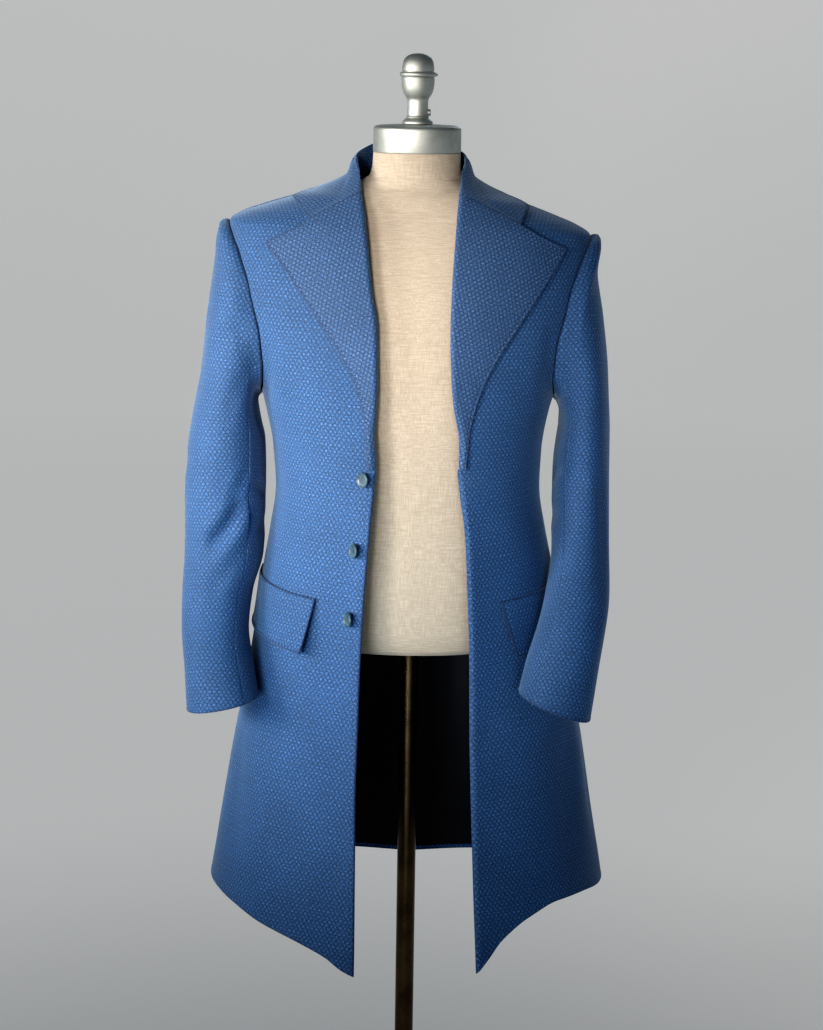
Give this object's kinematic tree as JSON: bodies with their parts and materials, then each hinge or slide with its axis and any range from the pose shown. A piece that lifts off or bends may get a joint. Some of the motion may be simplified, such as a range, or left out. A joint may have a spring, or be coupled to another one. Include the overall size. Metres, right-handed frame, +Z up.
{
  "type": "overcoat on a dress form",
  "caption": "Long single-breasted overcoat with wide peaked lapels, worn open on a limbless dress form that stands on a pole and round base.",
  "frame": {"origin": "centre of the round base's underside, on the axis of the form's pole", "axes": "+Z up along the pole; the coat's fronts face -Y and the wearer's left side is towards +X"},
  "size_m": [0.5679, 0.4209, 1.6838],
  "materials": {
    "blue_wool": "matt patterned wool, soft nap",
    "black_satin": "smooth satin lining",
    "dark_horn": "polished dark horn look",
    "linen": "plain matt linen",
    "brushed_nickel": "brushed nickel",
    "bronzed_pole": "dark bronzed metal",
    "cast_iron": "black painted iron"
  },
  "bodies": {
    "root": {"front_right": "blue_wool", "front_left": "blue_wool", "lapel_right": "blue_wool", "lapel_left": "blue_wool", "collar": "blue_wool", "back_right": "blue_wool", "back_left": "blue_wool", "sleeve_right_top": "blue_wool", "sleeve_right_under": "blue_wool", "sleeve_left_top": "blue_wool", "sleeve_left_under": "blue_wool", "pocket_flap_right": "blue_wool", "pocket_flap_left": "blue_wool", "button_1": "dark_horn", "button_2": "dark_horn", "button_3": "dark_horn", "lining_back": "black_satin", "form_torso": "linen", "form_neck_cap": "brushed_nickel", "form_knob": "brushed_nickel", "form_pole": "bronzed_pole", "form_base": "cast_iron"}
  },
  "joints": []
}
